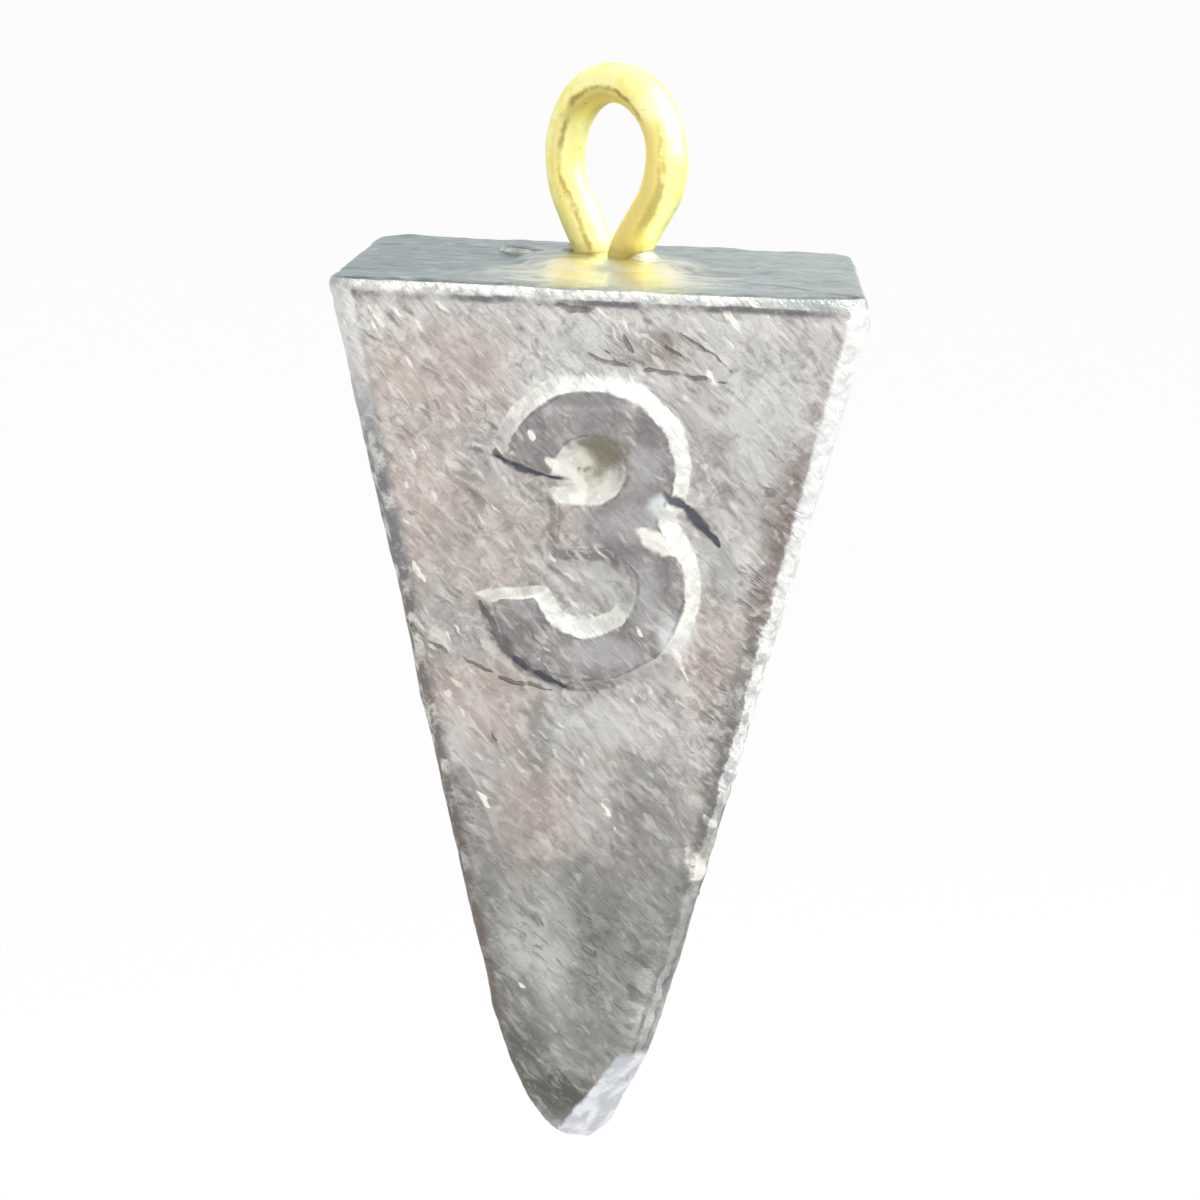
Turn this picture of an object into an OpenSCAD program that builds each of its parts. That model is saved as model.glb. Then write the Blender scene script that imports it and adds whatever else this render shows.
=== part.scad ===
// Three ounce pyramid sinker: a square lead casting that hangs point down
// from an eye of brass wire cast into its top. The weight numeral stands
// raised on the front face. The casting's two halves part on the diagonal
// through the front right and back left corners, and the eye lies in that plane.
// The origin is where the line bears, on the inside of the eye's crown.

/* [Lead body] */
// Width of the square top across the flats, measured to the sharp edges
top_w = 22.3; // [18:0.1:28]
// Height from the nose to the top face
body_h = 39; // [30:0.1:50]
// Radius where the top face rolls into the sides
top_edge_r = 0.45; // [0.2:0.05:1.5]
// Height of the curved nose
nose_h = 7; // [4:0.1:10]
// Width across the flats where the sides start to curve into the nose
nose_w = 7.6; // [6:0.1:10]
// Radius of the blunt tip
tip_r = 1.6; // [0.8:0.1:2.4]
// Height of the low swell of lead round the wire
swell_h = 0.5; // [0.2:0.1:1.2]
// Radius of that swell at the top face
swell_r = 3.6; // [3.2:0.1:5]

/* [Parting line] */
// Thickness of the fin where the halves of the mould meet
flash_t = 0.35; // [0.2:0.05:0.8]
// Height of that fin above the casting
flash_h = 0.18; // [0.1:0.02:0.4]
// Distance of the trimmed pouring gate from the eye's middle
gate_offset = 5.4; // [5:0.1:8]
// Diameter of the gate's stub
gate_d = 2.2; // [1:0.1:3]
// Height of the gate's stub after trimming
gate_h = 0.3; // [0.1:0.05:0.8]
// Angle of the flat that was nipped off the nose's corner, from the vertical
nip_angle = 38; // [36:0.5:44]
// Distance from the middle of the tip to that flat
nip_offset = 0.35; // [0:0.05:0.6]
// Angle of the long flat above it, where the corner was trimmed, from the vertical
trim_angle = 20.5; // [19:0.5:24]
// Depth to which the corner was trimmed, where the sides curve into the nose
trim_depth = 0.55; // [0.3:0.05:0.7]

/* [Wire eye] */
// Diameter of the brass wire
wire_d = 1.8; // [1.2:0.1:2]
// Radius of the loop at the middle of the wire
loop_r = 3.2; // [2.6:0.1:4]
// Height of the loop's centre above the top face
loop_h = 4.6; // [4.2:0.1:6]
// Slant of the legs below the loop, in degrees
leg_slant = 36; // [30:1:40]
// Gap between the two legs where they run side by side
leg_gap = 0.2; // [0.1:0.05:0.4]
// Radius of the bends, at the middle of the wire
bend_r = 1.4; // [1.2:0.1:1.8]
// Depth of the tails below the top face
tail_depth = 9; // [6:0.5:12]
// Straight length of each tail beyond its bend
tail_l = 1.6; // [0.5:0.1:3]

/* [Numeral] */
// Distance of the numeral's middle arm from the top edge, down the face
arm_drop = 10.2; // [9.6:0.1:11]
// Distance of the numeral's centre line from the face's centre line
numeral_shift = 0.2; // [0:0.05:0.8]
// Radius of the upper bowl at the middle of the stroke
upper_bowl_r = 2.5; // [2.2:0.1:2.8]
// Radius of the lower bowl at the middle of the stroke
lower_bowl_r = 3.1; // [2.7:0.1:3.4]
// Overlap of the two bowls where they meet
bowl_overlap = 0.3; // [0.2:0.05:0.4]
// Width of the stroke on the numeral's face
stroke_w = 2; // [1.4:0.1:2.4]
// Height of the numeral above the lead
relief = 0.55; // [0.35:0.05:0.9]
// Spread of the drafted walls on each side at the root
wall_spread = 0.65; // [0.6:0.05:0.8]
// Spread of the drafted ends at the root
end_spread = 0.45; // [0.3:0.05:0.5]
// Length of the middle arm left of the bowls' centre line
arm_l = 1.3; // [0.6:0.1:1.8]
// Drop of the upper terminal below the upper bowl's centre
upper_end_drop = 0; // [0:0.1:0.6]
// Tilt of the cut across the upper terminal, in degrees
upper_end_tilt = -20; // [-30:1:0]
// Drop of the lower terminal below the lower bowl's centre
lower_end_drop = 0.4; // [0:0.1:1]
// Tilt of the cut across the lower terminal, in degrees
lower_end_tilt = 6; // [0:1:15]

/* [Hidden] */
// Facets of a full circle, and of the wire's own section
$fn = 96;
wire_facets = 24;
// Flats in the rolled top edge, in the side of the nose and in its tip
edge_steps = 5;
nose_steps = 6;
tip_steps = 6;
// The corners are blunted to this share of the half width, measured on the diagonal
corner_share = 1.36;
// A ball this much thicker than the wire closes each joint between its stretches
joint_share = 1.01;
// The loop stands with its right side towards the front
eye_turn = -45;
// Angle past straight up at which the lower bowl leaves the upper one
lower_start = 16;
// Sweep that each bowl has to spare past the left, for its terminal to be cut from
end_spare = 36;
// Overrun of cuts and roots past the surfaces that they cross
overrun = 0.4;

wire_r = wire_d / 2;
// Heights of the loop's centre and of the top face, from the origin
loop_z = wire_r - loop_r;
top_z = loop_z - loop_h;
side_slope = atan((top_w - nose_w) / 2 / (body_h - nose_h));
edge_cx = top_w / 2 - top_edge_r * (tan(side_slope) + 1 / cos(side_slope));

// The side bends into the nose at nose_h, on an arc that runs tangent into the
// ball of the tip. The ball is limited to what fits between the sides.
nose_reach = nose_w / 2 * cos(side_slope) - nose_h * sin(side_slope);
ball_r = min(tip_r, 0.85 * nose_reach / (1 - sin(side_slope)));
ball_drop = nose_h - ball_r;
nose_r = (pow(nose_w / 2, 2) + pow(ball_drop, 2) - pow(ball_r, 2))
    / (2 * (nose_reach + ball_r * sin(side_slope) - ball_r));
nose_cx = nose_w / 2 - nose_r * cos(side_slope);
nose_cz = nose_h + nose_r * sin(side_slope);
ball_angle = atan2(ball_r - nose_cz, -nose_cx);
tip_flat = ball_r / 8;
dome_r = (pow(swell_r, 2) + pow(swell_h, 2)) / (2 * swell_h);

// Points of an arc between two angles
function arc(cx, cz, r, from, to, steps) =
    [for (i = [0 : steps]) let (t = from + (to - from) * i / steps) [cx + r * cos(t), cz + r * sin(t)]];

// Right half of the section from the top's middle to the nose, widened by a
// share and grown outwards by a distance, with the top face at height 0
function half_section(widen, grow) =
    let (
        edge = arc(edge_cx, -top_edge_r, top_edge_r + grow, 90, -side_slope, edge_steps),
        nose = arc(nose_cx, nose_cz - body_h, nose_r + grow, -side_slope, ball_angle, nose_steps),
        tip = arc(0, ball_r - body_h, ball_r + grow, ball_angle, -90, tip_steps),
        ends = concat([for (i = [1 : tip_steps - 1]) tip[i]], [[tip_flat, tip[tip_steps].y]])
    )
    [for (p = concat([[0, grow]], edge, nose, ends)) [p.x * widen, p.y]];

function whole_section(widen, grow) =
    let (right = half_section(widen, grow), last = len(right) - 1)
    concat(right, [for (i = [last : -1 : 1]) [-right[i].x, right[i].y]]);

// Places along the wire, in the plane of the eye, with the top face at height 0
leg_x = wire_r + leg_gap / 2;
loop_end = [loop_r * cos(leg_slant), loop_h - loop_r * sin(leg_slant)];
bend_out = leg_x + bend_r * (1 - cos(leg_slant));
slant_l = (loop_end.x - bend_out) / sin(leg_slant);
slant_end = [bend_out, loop_end.y - slant_l * cos(leg_slant)];
leg_top = slant_end.y - bend_r * sin(leg_slant);
tail_bend_z = bend_r - tail_depth;

// The section, widened by a share, drawn out past both sides of the body
module wedge(widen) {
    rotate([90, 0, 0])
        linear_extrude(corner_share * top_w, center = true)
            polygon(whole_section(widen, 0));
}

// Square body: two wedges cross for its sides, and two more blunt its corners
module pyramid() {
    intersection() {
        wedge(1);
        rotate([0, 0, 90])
            wedge(1);
        rotate([0, 0, 45])
            wedge(corner_share);
        rotate([0, 0, -45])
            wedge(corner_share);
    }
}

// Thin fin round the casting in the plane of the eye
module parting_fin() {
    rotate([90, 0, eye_turn])
        linear_extrude(flash_t, center = true)
            polygon(whole_section(corner_share, flash_h));
}

// Low dome of lead round the wire
module swell() {
    intersection() {
        translate([0, 0, swell_h - dome_r])
            sphere(dome_r);
        translate([-top_w / 2, -top_w / 2, -overrun])
            cube([top_w, top_w, overrun + 2 * swell_h]);
    }
}

module gate_stub() {
    rotate([0, 0, eye_turn])
        translate([-gate_offset, 0, -overrun])
            cylinder(h = gate_h + overrun, d = gate_d);
}

// All that lies beyond a flat on the front right corner
module beyond_flat(out, height, angle) {
    rotate([0, 0, eye_turn])
        translate([out, 0, height])
            rotate([0, angle, 0])
                translate([0, -top_w / 2, -top_w])
                    cube([top_w, top_w, 2 * top_w]);
}

// The flash was nipped off the nose, and trimmed off the corner above it
module trimmings() {
    beyond_flat(nip_offset, -body_h, nip_angle);
    beyond_flat(corner_share * nose_w / 2 - trim_depth, nose_h - body_h, trim_angle);
}

// Section of a drafted stroke about its middle line, from under the face
function stroke_section(middle) =
    let (foot = stroke_w / 2 + wall_spread * (1 + overrun / relief))
    [[middle - foot, -overrun], [middle + foot, -overrun],
     [middle + stroke_w / 2, relief], [middle - stroke_w / 2, relief]];

// Everything below a drafted cut that runs through the origin, at a tilt
module end_cut(tilt, reach) {
    translate([0, 0, relief])
        rotate([0, 0, tilt])
            rotate([-atan(end_spread / relief), 0, 0])
                translate([-reach, -2 * reach, -4 * reach])
                    cube([2 * reach, 2 * reach, 8 * reach]);
}

// One bowl of the numeral, open to the left, from an angle past straight below
// its own centre round the right to a cut terminal on its left
module bowl(r, start, end_drop, end_tilt) {
    difference() {
        rotate([0, 0, start - 90])
            rotate_extrude(angle = 270 - start + end_spare)
                polygon(stroke_section(r));
        translate([-r, -end_drop, 0])
            end_cut(end_tilt, r);
    }
}

module middle_arm() {
    difference() {
        translate([-arm_l - stroke_w, 0, 0])
            rotate([90, 0, 90])
                linear_extrude(arm_l + stroke_w)
                    polygon(stroke_section(0));
        translate([-arm_l, 0, 0])
            end_cut(-90, stroke_w);
    }
}

// The raised 3, on the plane of the front face, with its middle arm at the origin
module numeral() {
    translate([0, upper_bowl_r, 0])
        bowl(upper_bowl_r, 0, upper_end_drop, upper_end_tilt);
    mirror([0, 1, 0])
        translate([0, lower_bowl_r - bowl_overlap, 0])
            bowl(lower_bowl_r, lower_start, -lower_end_drop, -lower_end_tilt);
    middle_arm();
}

module numeral_on_face() {
    translate([0, -top_w / 2, 0])
        rotate([90 + side_slope, 0, 0])
            translate([-numeral_shift, -arm_drop, 0])
                numeral();
}

// A stretch of wire round a bend, in the plane of the eye
module wire_bend(cx, cz, r, from, sweep) {
    translate([cx, 0, cz])
        rotate([90, 0, 0])
            rotate([0, 0, from])
                rotate_extrude(angle = sweep)
                    translate([r, 0])
                        circle(d = wire_d, $fn = wire_facets);
}

// A straight stretch of wire from a point, at an angle from straight up,
// with the joints at its ends
module wire_run(x, z, angle, l) {
    translate([x, 0, z])
        rotate([0, angle, 0]) {
            cylinder(h = l, d = wire_d, $fn = wire_facets);
            for (end = [0, l])
                translate([0, 0, end])
                    sphere(d = wire_d * joint_share, $fn = wire_facets);
        }
}

module eye_leg() {
    wire_run(slant_end.x, slant_end.y, leg_slant, slant_l);
    wire_bend(leg_x + bend_r, leg_top, bend_r, 180 - leg_slant, leg_slant);
    wire_run(leg_x, tail_bend_z, 0, leg_top - tail_bend_z);
    wire_bend(leg_x + bend_r, tail_bend_z, bend_r, 180, 90);
    wire_run(leg_x + bend_r, -tail_depth, 90, tail_l);
}

module eye() {
    rotate([0, 0, eye_turn]) {
        wire_bend(0, loop_h, loop_r, -leg_slant, 180 + 2 * leg_slant);
        eye_leg();
        mirror([1, 0, 0])
            eye_leg();
    }
}

module lead_body() {
    color([0.62, 0.61, 0.6])
        translate([0, 0, top_z])
            difference() {
                union() {
                    pyramid();
                    parting_fin();
                    swell();
                    gate_stub();
                    numeral_on_face();
                }
                trimmings();
                eye();
            }
}

module wire_eye() {
    color([0.9, 0.8, 0.45])
        translate([0, 0, top_z])
            eye();
}

lead_body();
wire_eye();
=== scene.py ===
from math import atan, cos, pi, radians, sin, sqrt

import bpy
from mathutils import Matrix, Vector


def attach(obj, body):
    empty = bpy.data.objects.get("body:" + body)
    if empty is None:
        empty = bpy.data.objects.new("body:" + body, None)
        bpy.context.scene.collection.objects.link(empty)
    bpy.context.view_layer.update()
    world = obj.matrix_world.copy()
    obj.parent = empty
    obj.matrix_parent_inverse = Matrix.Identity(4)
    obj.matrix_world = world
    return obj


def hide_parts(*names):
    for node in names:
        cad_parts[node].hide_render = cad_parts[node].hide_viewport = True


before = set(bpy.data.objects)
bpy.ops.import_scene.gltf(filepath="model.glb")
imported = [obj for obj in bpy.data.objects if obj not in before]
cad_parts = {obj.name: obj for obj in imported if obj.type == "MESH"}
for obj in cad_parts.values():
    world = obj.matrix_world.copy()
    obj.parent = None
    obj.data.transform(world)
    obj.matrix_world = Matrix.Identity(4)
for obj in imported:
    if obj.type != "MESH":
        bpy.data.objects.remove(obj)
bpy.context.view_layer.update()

MM = 0.001

# The casting, as in the part's source
TOP_W = 22.3 * MM
BODY_H = 39 * MM
TOP_EDGE_R = 0.45 * MM
NOSE_H = 7 * MM
NOSE_W = 7.6 * MM
TIP_R = 1.6 * MM
TOP_Z = -6.9 * MM
SLOPE = atan((TOP_W - NOSE_W) / 2 / (BODY_H - NOSE_H))
CORNER_SHARE = 1.36
NIP_ANGLE = radians(38)
NIP_OFFSET = 0.35 * MM
TRIM_ANGLE = radians(20.5)
TRIM_DEPTH = 0.55 * MM
EYE_TURN = radians(-45)

# Its finer forms
CORNER_BEVEL_PERCENT = 4.2
NOSE_STEPS = 15
TIP_LEAN = 0.38 * MM
GROOVE_DROPS = (0.62 * MM, 0.85 * MM, 1.2 * MM)
GROOVE_SHARE = 0.989
FIN_HALF_W = 0.17 * MM
FIN_OUT = 0.05 * MM
GATE_R = 1.1 * MM
GATE_X = -5.4 * MM
GATE_H = 0.26 * MM
# Lumps of lead in the plane of the eye, as (name, place from the middle of the top, size)
LUMPS = [
    ("swell", (0, 0, 0.06 * MM), (4.2 * MM, 4.2 * MM, 0.42 * MM)),
    ("left_lip", (-2.05 * MM, 0, 0.4 * MM), (0.42 * MM, 0.75 * MM, 0.5 * MM)),
    ("right_lip", (2.1 * MM, 0, 0.4 * MM), (0.45 * MM, 0.7 * MM, 0.45 * MM)),
]
# Flats worn on the rim, each as a place on it, from the middle of the top, and the way it faces
WORN_RIM = [
    ((10.55 * MM, 10.2 * MM, 0), (0.8, 0.5, 0.3)),
    ((10.7 * MM, 0, -0.45 * MM), (0.97, 0, 0.24)),
    ((10.3 * MM, -10.3 * MM, 0), (0.6, -0.6, 0.53)),
    ((-10.3 * MM, 10.3 * MM, 0), (-0.6, 0.6, 0.53)),
]
# Size of the cells of the casting's mesh
GRAIN = 0.18 * MM

# The wire, in the plane of the eye, with the top face at height 0
WIRE_R = 0.9 * MM
LOOP_R = 3.2 * MM
LOOP_H = 4.6 * MM
LEG_SLANT = radians(36)
LEG_X = 1.0 * MM
BEND_R = 1.4 * MM
TAIL_DEPTH = 9 * MM
TAIL_L = 1.6 * MM

# The numeral, on the front face
ARM_DROP = 10.2 * MM
NUMERAL_DROP = 11.2 * MM
NUMERAL_SHIFT = 0.2 * MM
UPPER_BOWL_R = 2.5 * MM
UPPER_SWEEP = radians(270)
UPPER_END_TURN = radians(-20)
LOWER_BOWL_R = 3.1 * MM
LOWER_START = radians(16)
LOWER_SWEEP = radians(270 - 16 - 7.4)
BOWL_OVERLAP = 0.3 * MM
STROKE_W = 2.0 * MM
RELIEF = 0.55 * MM
WALL_SPREAD = 0.65 * MM
END_SPREAD = 0.45 * MM
ARM_L = 1.3 * MM
ARM_LAP = 0.3 * MM
ROOT = 0.4 * MM
# The drafted walls run on down to the root, where their spread is larger by this share
ROOT_SHARE = 1 + ROOT / RELIEF

# Where things lie on the front face: x to the right and y up it, from the numeral's arm
FACE_PLACE = (
    Matrix.Translation((0, -TOP_W / 2, TOP_Z))
    @ Matrix.Rotation(radians(90) + SLOPE, 4, 'X')
    @ Matrix.Translation((-NUMERAL_SHIFT, -ARM_DROP, 0))
)
# The same in the plane of the eye: x to the front right and z up, from the middle of the top
EYE_PLACE = Matrix.Translation((0, 0, TOP_Z)) @ Matrix.Rotation(EYE_TURN, 4, 'Z')
CORNER = Matrix.Rotation(EYE_TURN, 3, 'Z') @ Vector((1, 0, 0))
ACROSS = Matrix.Rotation(EYE_TURN, 3, 'Z') @ Vector((0, 1, 0))

# Lengths closer than this count as equal
CLOSE = 0.01 * MM

# Without a window, a turn in edit mode runs backwards
TURN_SIGN = -1


# Modelling by hand

def pick(piece):
    """Selects one piece alone and makes it the active one."""
    bpy.ops.object.select_all(action='DESELECT')
    piece.select_set(True)
    bpy.context.view_layer.objects.active = piece


def new_piece(name):
    """Names the primitive that was just added, and fixes its place in its mesh."""
    piece = bpy.context.active_object
    piece.name = name
    piece.data.name = name
    bpy.ops.object.transform_apply(location=True, rotation=True, scale=True)
    return piece


def put_at(piece, place):
    """Moves a piece that was modelled at the origin to its place."""
    pick(piece)
    piece.matrix_world = place
    bpy.ops.object.transform_apply(location=True, rotation=True, scale=True)


def edit_mode():
    bpy.ops.object.mode_set(mode='EDIT')


def object_mode():
    bpy.ops.object.mode_set(mode='OBJECT')


def edit_all():
    """Enters edit mode with the whole mesh selected."""
    edit_mode()
    bpy.ops.mesh.select_all(action='SELECT')


def close_skin():
    """Joins the points that coincide, turns the faces outwards and leaves edit mode."""
    bpy.ops.mesh.select_all(action='SELECT')
    bpy.ops.mesh.remove_doubles(threshold=0.001 * MM)
    bpy.ops.mesh.normals_make_consistent(inside=False)
    object_mode()


def select_only(piece, kind, wanted):
    """In edit mode, selects faces by their normal, edges by their two ends or vertices by their place."""
    bpy.ops.mesh.select_mode(type=kind)
    bpy.ops.mesh.select_all(action='DESELECT')
    object_mode()
    mesh = piece.data
    if kind == 'FACE':
        for face in mesh.polygons:
            face.select = wanted(face.normal)
    elif kind == 'EDGE':
        for edge in mesh.edges:
            edge.select = wanted(*(mesh.vertices[i].co for i in edge.vertices))
    else:
        for vert in mesh.vertices:
            vert.select = wanted(vert.co)
    edit_mode()


def join(name, pieces):
    """Joins pieces into the first one."""
    bpy.ops.object.select_all(action='DESELECT')
    for piece in pieces:
        piece.select_set(True)
    bpy.context.view_layer.objects.active = pieces[0]
    bpy.ops.object.join()
    pieces[0].name = name
    return pieces[0]


def modify(piece, kind, **settings):
    """Adds a modifier with its settings and applies it."""
    pick(piece)
    modifier = piece.modifiers.new(kind.title(), kind)
    for name, value in settings.items():
        setattr(modifier, name, value)
    bpy.ops.object.modifier_apply(modifier=modifier.name)


def dent(piece, name, size, detail, strength, mid_level=0.5, vertex_group=""):
    """Pushes a surface in and out by a soft cloud pattern."""
    texture = bpy.data.textures.new(name, 'CLOUDS')
    texture.noise_scale = size
    texture.noise_depth = detail
    texture.noise_basis = 'BLENDER_ORIGINAL'
    modify(piece, 'DISPLACE', texture=texture, texture_coords='LOCAL', strength=strength,
           mid_level=mid_level, vertex_group=vertex_group)


def group_verts(piece, name, weight):
    """Makes a vertex group from a weight for each place."""
    group = piece.vertex_groups.new(name=name)
    for vert in piece.data.vertices:
        share = weight(vert.co)
        if share > 0:
            group.add([vert.index], min(share, 1), 'REPLACE')


def ramp(value, start, end):
    """0 up to the start, 1 past the end, and straight between them."""
    return max(0, min(1, (value - start) / (end - start)))


def smooth_ramp(value, start, end):
    """As ramp, with soft ends."""
    share = ramp(value, start, end)
    return share * share * (3 - 2 * share)


# The lead

def nose_rings():
    """Half widths of the section at steps down the nose, as (height above the tip, half width)."""
    reach = NOSE_W / 2 * cos(SLOPE) - NOSE_H * sin(SLOPE)
    ball_drop = NOSE_H - TIP_R
    nose_r = ((NOSE_W / 2) ** 2 + ball_drop ** 2 - TIP_R ** 2) / (
        2 * (reach + TIP_R * sin(SLOPE) - TIP_R))
    middle_x = NOSE_W / 2 - nose_r * cos(SLOPE)
    middle_z = NOSE_H + nose_r * sin(SLOPE)
    ball_joins = TIP_R + (TIP_R - middle_z) * TIP_R / (nose_r - TIP_R)
    rings = []
    for step in range(1, NOSE_STEPS):
        height = NOSE_H * (1 - step / NOSE_STEPS) ** 1.4
        side = middle_x + sqrt(nose_r ** 2 - (height - middle_z) ** 2)
        ball = sqrt(max(0, TIP_R ** 2 - (TIP_R - height) ** 2))
        rings.append((height, ball if height < ball_joins else side))
    return rings + [(0, TIP_R / 6)]


def tapered_block(name, width, depth):
    """The pyramid with its nose. Width and depth turn the half width at a level into that block's."""
    shaft_h = BODY_H - NOSE_H
    half = TOP_W / 2
    bpy.ops.mesh.primitive_cube_add(
        size=1,
        location=(0, 0, TOP_Z - shaft_h / 2),
        scale=(2 * width(half), 2 * depth(half), shaft_h),
    )
    block = new_piece(name)
    edit_mode()
    select_only(block, 'FACE', lambda normal: normal.z < -0.9)
    level = TOP_Z - shaft_h
    for height, next_half in [(NOSE_H, NOSE_W / 2)] + nose_rings():
        below = TOP_Z - BODY_H + height
        if below < level:
            bpy.ops.mesh.extrude_region_move(TRANSFORM_OT_translate={"value": (0, 0, below - level)})
            level = below
        bpy.ops.transform.resize(
            value=(width(next_half) / width(half), depth(next_half) / depth(half), 1),
            center_override=(0, 0, level),
        )
        half = next_half
    object_mode()
    return block


def trim(through, outwards):
    """In edit mode, cuts off all that lies outside a plane and closes the cut."""
    bpy.ops.mesh.select_all(action='SELECT')
    bpy.ops.mesh.bisect(plane_co=through, plane_no=outwards, use_fill=True, clear_outer=True)


def out_and_down(angle):
    """The way out through the front right corner, turned down by an angle."""
    return CORNER * cos(angle) - Vector((0, 0, sin(angle)))


def wear_rim():
    """Wears the rim down along its right edge and at three corners."""
    edit_mode()
    for (x, y, z), outwards in WORN_RIM:
        trim((x, y, TOP_Z + z), outwards)
    object_mode()


def trim_nose():
    """Nips the nose towards the front right, and trims the flash off the corner above it."""
    edit_mode()
    for out, height, angle in (
            (NIP_OFFSET, 0, NIP_ANGLE),
            (CORNER_SHARE * NOSE_W / 2 - TRIM_DEPTH, NOSE_H, TRIM_ANGLE)):
        trim(CORNER * out + Vector((0, 0, TOP_Z - BODY_H + height)), out_and_down(angle))
    object_mode()


def pyramid():
    """The square body, with a rolled rim, a shallow groove under it and blunted corners."""
    body = tapered_block("lead_casting", lambda half: half, lambda half: half)
    edit_mode()
    for drop in GROOVE_DROPS:
        bpy.ops.mesh.select_all(action='SELECT')
        bpy.ops.mesh.bisect(plane_co=(0, 0, TOP_Z - drop), plane_no=(0, 0, 1))
    groove_z = TOP_Z - GROOVE_DROPS[1]
    select_only(body, 'VERT', lambda place: abs(place.z - groove_z) < CLOSE)
    bpy.ops.transform.resize(value=(GROOVE_SHARE, GROOVE_SHARE, 1), center_override=(0, 0, groove_z))

    def on_corner(place):
        return abs(abs(place.x) - abs(place.y)) < CLOSE

    select_only(body, 'EDGE', lambda a, b: on_corner(a) and on_corner(b) and abs(a.z - b.z) > CLOSE)
    bpy.ops.mesh.bevel(offset_type='PERCENT', offset_pct=CORNER_BEVEL_PERCENT, segments=3, profile=0.5)
    select_only(body, 'EDGE', lambda a, b: min(a.z, b.z) > TOP_Z - CLOSE)
    bpy.ops.mesh.bevel(offset=TOP_EDGE_R, offset_type='OFFSET', segments=4, profile=0.5)
    object_mode()
    wear_rim()
    trim_nose()
    return body


def parting_fin():
    """Thin fin of flash in the plane of the eye."""
    fin = tapered_block("fin", lambda half: CORNER_SHARE * half + FIN_OUT, lambda half: FIN_HALF_W)
    put_at(fin, Matrix.Rotation(EYE_TURN, 4, 'Z'))
    wear_rim()
    trim_nose()
    return fin


def lump(name, place, size):
    """A small rounded lump of lead, in the plane of the eye."""
    bpy.ops.mesh.primitive_ico_sphere_add(subdivisions=3, radius=1, location=place, scale=size)
    piece = new_piece(name)
    put_at(piece, EYE_PLACE)
    return piece


def gate_stub():
    """Stub of the pouring gate, trimmed with side cutters to a crooked face."""
    bpy.ops.mesh.primitive_cylinder_add(
        vertices=24, radius=GATE_R, depth=0.9 * MM, location=(GATE_X, 0, -0.1 * MM))
    stub = new_piece("gate_stub")
    edit_mode()
    trim((GATE_X, 0, GATE_H), (0.08, 0.12, 1))
    object_mode()
    put_at(stub, EYE_PLACE)
    return stub


def stroke_face(name, middle_y):
    """The drafted section of a stroke, standing at x = 0 with its middle at middle_y."""
    bpy.ops.mesh.primitive_plane_add(size=1, rotation=(0, radians(90), 0))
    face = new_piece(name)
    foot = STROKE_W / 2 + WALL_SPREAD * ROOT_SHARE
    edit_all()
    bpy.ops.transform.resize(value=(1, 2 * foot, RELIEF + ROOT), center_override=(0, 0, 0))
    bpy.ops.transform.translate(value=(0, middle_y, (RELIEF - ROOT) / 2))
    select_only(face, 'VERT', lambda place: place.z > 0)
    bpy.ops.transform.resize(value=(1, STROKE_W / 2 / foot, 1), center_override=(0, middle_y, 0))
    object_mode()
    return face


def bowl(name, centre_y, radius, side, start, sweep, end_turn):
    """One bowl of the numeral. It is spun round its centre from a section straight below it
    (side -1) or straight above it (side 1), and its end face is turned and drafted."""
    piece = stroke_face(name, centre_y + side * radius)
    centre = Vector((0, centre_y, 0))
    put_at(piece, Matrix.Translation(centre) @ Matrix.Rotation(-side * start, 4, 'Z')
           @ Matrix.Translation(-centre))
    last = radians(24)
    edit_all()
    bpy.ops.mesh.spin(steps=66, angle=side * (sweep - last), center=centre, axis=(0, 0, 1))
    bpy.ops.mesh.spin(steps=1, angle=side * last, center=centre, axis=(0, 0, 1))
    end_angle = radians(90) - start - sweep
    end = centre + Vector((radius * cos(end_angle), side * radius * sin(end_angle), 0))
    away = Vector((sin(end_angle), -side * cos(end_angle), 0))
    bpy.ops.transform.rotate(value=TURN_SIGN * end_turn, orient_axis='Z', center_override=end)
    away.rotate(Matrix.Rotation(end_turn, 3, 'Z'))
    select_only(piece, 'VERT', lambda place: place.z < 0 and abs((place - end).dot(away)) < CLOSE
                and (place - end).length < STROKE_W)
    bpy.ops.transform.translate(value=away * END_SPREAD * ROOT_SHARE)
    object_mode()
    return piece


def middle_arm():
    """The short bar between the bowls."""
    arm = stroke_face("arm", 0)
    edit_all()
    bpy.ops.transform.translate(value=(ARM_LAP, 0, 0))
    bpy.ops.mesh.extrude_region_move(TRANSFORM_OT_translate={"value": (-ARM_L - ARM_LAP, 0, 0)})
    select_only(arm, 'VERT', lambda place: place.x < -ARM_L / 2 and place.z < 0)
    bpy.ops.transform.translate(value=(-END_SPREAD * ROOT_SHARE, 0, 0))
    object_mode()
    return arm


def numeral():
    """The raised 3."""
    whole = [
        bowl("upper_bowl", UPPER_BOWL_R, UPPER_BOWL_R, -1, 0, UPPER_SWEEP, UPPER_END_TURN),
        bowl("lower_bowl", BOWL_OVERLAP - LOWER_BOWL_R, LOWER_BOWL_R, 1, LOWER_START, LOWER_SWEEP, 0),
        middle_arm(),
    ]
    for piece in whole:
        put_at(piece, FACE_PLACE)
        edit_mode()
        close_skin()
    return whole


def flash_share(place):
    """How far a place below the rim lies out on the parting fin."""
    if place.z >= TOP_Z - 0.8 * MM:
        return 0
    return (ramp(abs(place.dot(ACROSS)), 0.6 * MM, 0.25 * MM)
            * ramp(abs(place.dot(CORNER)), 2.6 * MM, 3 * MM))


def tip_share(place):
    """How near a place lies to the tip."""
    return smooth_ramp(place.z - TOP_Z + BODY_H, 2.6 * MM, -0.2 * MM)


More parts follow.
